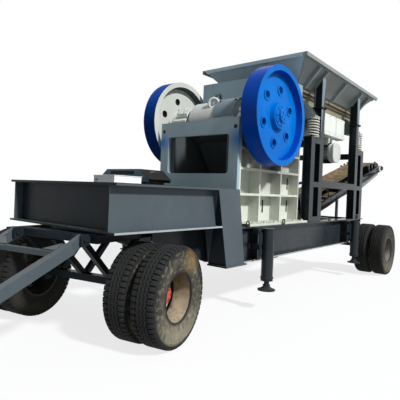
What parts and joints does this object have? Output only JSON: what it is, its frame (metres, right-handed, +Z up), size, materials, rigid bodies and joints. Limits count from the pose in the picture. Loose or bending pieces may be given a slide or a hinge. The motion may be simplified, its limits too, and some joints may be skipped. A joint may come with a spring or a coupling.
{
  "type": "mobile jaw crushing plant",
  "caption": "Jaw crusher with flywheels, feed hopper, vibrating feeder and discharge conveyor on a swan-necked trailer with steered bogie and jacks.",
  "frame": {"origin": "on the ground under the middle of the whole object, on the trailer centreline", "axes": "+X from the drawbar towards the conveyor head, +Z up, -Y is the near side with the flywheel"},
  "size_m": [12.2759, 3.16, 3.83],
  "materials": {
    "chassis_paint": "semi-gloss slate grey paint on rolled steel",
    "grey_paint": "satin mid grey paint on plate",
    "white_primer": "satin off-white paint on fabricated plate",
    "blue_paint": "gloss blue paint on cast iron",
    "cast_paint": "light grey paint on a casting",
    "manganese_steel": "as-cast manganese steel",
    "bare_steel": "turned steel",
    "spring_steel": "pale painted spring wire",
    "motor_paint": "blue-grey paint on cast iron",
    "belt_rubber": "dusty rubber belting",
    "roller_steel": "black paint on tube",
    "tyre_rubber": "worn dusty tyre rubber",
    "rim_paint": "dusty beige paint on pressed steel"
  },
  "bodies": {
    "chassis": {"bearing_housings": "white_primer", "chassis_cross_beams": "chassis_paint", "cheek_plates": "manganese_steel", "control_cabinet": "white_primer", "conveyor_belt": "belt_rubber", "conveyor_frame": "chassis_paint", "conveyor_pulleys": "roller_steel", "conveyor_rollers": "roller_steel", "crusher_back_wall": "grey_paint", "crusher_front_wall": "white_primer", "crusher_side_far": "white_primer", "crusher_side_near": "white_primer", "deck_beams": "chassis_paint", "deck_cross_beams": "chassis_paint", "deck_plate": "chassis_paint", "drive_motor": "motor_paint", "exciter_cases": "white_primer", "feed_hood": "grey_paint", "feeder_motor": "white_primer", "feeder_springs": "spring_steel", "feeder_trough": "grey_paint", "fixed_jaw_plate": "manganese_steel", "frame_ties": "chassis_paint", "grizzly_bars": "manganese_steel", "haunches": "chassis_paint", "hopper_ends": "grey_paint", "hopper_sides": "grey_paint", "jack_tubes": "chassis_paint", "kingpin_plate": "chassis_paint", "main_beams": "chassis_paint", "motor_rails": "chassis_paint", "rear_axle": "chassis_paint", "spring_seats": "chassis_paint", "support_frame_far": "chassis_paint", "support_frame_near": "chassis_paint", "swan_necks": "chassis_paint", "tail_hangers": "chassis_paint", "toggle_seat": "chassis_paint"},
    "rotor": {"eccentric_shaft": "bare_steel", "flywheel": "blue_paint", "drive_pulley": "blue_paint"},
    "pitman": {"pitman": "cast_paint", "swing_jaw_plate": "manganese_steel"},
    "bogie": {"bogie_frame": "chassis_paint", "front_axle": "chassis_paint"},
    "drawbar": {"drawbar": "chassis_paint"},
    "front_wheels_near": {"front_tyres_near": "tyre_rubber", "front_rims_near": "rim_paint"},
    "jack_front_near": {"jack_leg_front_near": "chassis_paint"},
    "front_wheels_far": {"front_tyres_far": "tyre_rubber", "front_rims_far": "rim_paint"},
    "jack_front_far": {"jack_leg_front_far": "chassis_paint"},
    "rear_wheels_near": {"rear_tyres_near": "tyre_rubber", "rear_rims_near": "rim_paint"},
    "jack_rear_near": {"jack_leg_rear_near": "chassis_paint"},
    "rear_wheels_far": {"rear_tyres_far": "tyre_rubber", "rear_rims_far": "rim_paint"},
    "jack_rear_far": {"jack_leg_rear_far": "chassis_paint"}
  },
  "joints": [
    {"name": "flywheel_spin", "type": "hinge", "parent": "chassis", "child": "rotor", "pos_m": [-1.09228, 0, 2.69], "axis": [0, 1, 0], "continuous": true},
    {"name": "pitman_swing", "type": "hinge", "parent": "rotor", "child": "pitman", "pos_m": [-1.09228, 0, 2.678], "axis": [0, 1, 0], "continuous": true},
    {"name": "bogie_steer", "type": "hinge", "parent": "chassis", "child": "bogie", "pos_m": [-3.59428, 0, 1.1037], "axis": [0, 0, 1], "range_deg": [-32, 8]},
    {"name": "drawbar_lift", "type": "hinge", "parent": "bogie", "child": "drawbar", "pos_m": [-4.16551, -0.12142, 1.0617], "axis": [-0.2079, 0.9781, 0], "range_deg": [0, 27]},
    {"name": "front_wheels_near_roll", "type": "hinge", "parent": "bogie", "child": "front_wheels_near", "pos_m": [-3.39489, -0.93804, 0.51], "axis": [-0.2079, 0.9781, 0], "continuous": true},
    {"name": "front_wheels_far_roll", "type": "hinge", "parent": "bogie", "child": "front_wheels_far", "pos_m": [-3.79366, 0.93804, 0.51], "axis": [-0.2079, 0.9781, 0], "continuous": true},
    {"name": "rear_wheels_near_roll", "type": "hinge", "parent": "chassis", "child": "rear_wheels_near", "pos_m": [2.74072, -1.289, 0.51], "axis": [0, 1, 0], "continuous": true},
    {"name": "rear_wheels_far_roll", "type": "hinge", "parent": "chassis", "child": "rear_wheels_far", "pos_m": [2.74072, 1.289, 0.51], "axis": [0, 1, 0], "continuous": true},
    {"name": "jack_front_near_lower", "type": "slide", "parent": "chassis", "child": "jack_front_near", "axis": [0, 0, -1], "range_m": [0, 0.27]},
    {"name": "jack_front_far_lower", "type": "slide", "parent": "chassis", "child": "jack_front_far", "axis": [0, 0, -1], "range_m": [0, 0.27]},
    {"name": "jack_rear_near_lower", "type": "slide", "parent": "chassis", "child": "jack_rear_near", "axis": [0, 0, -1], "range_m": [0, 0.27]},
    {"name": "jack_rear_far_lower", "type": "slide", "parent": "chassis", "child": "jack_rear_far", "axis": [0, 0, -1], "range_m": [0, 0.27]}
  ],
  "couplings": [
    {"joint": "pitman_swing", "follows": "flywheel_spin", "ratio": -1}
  ]
}
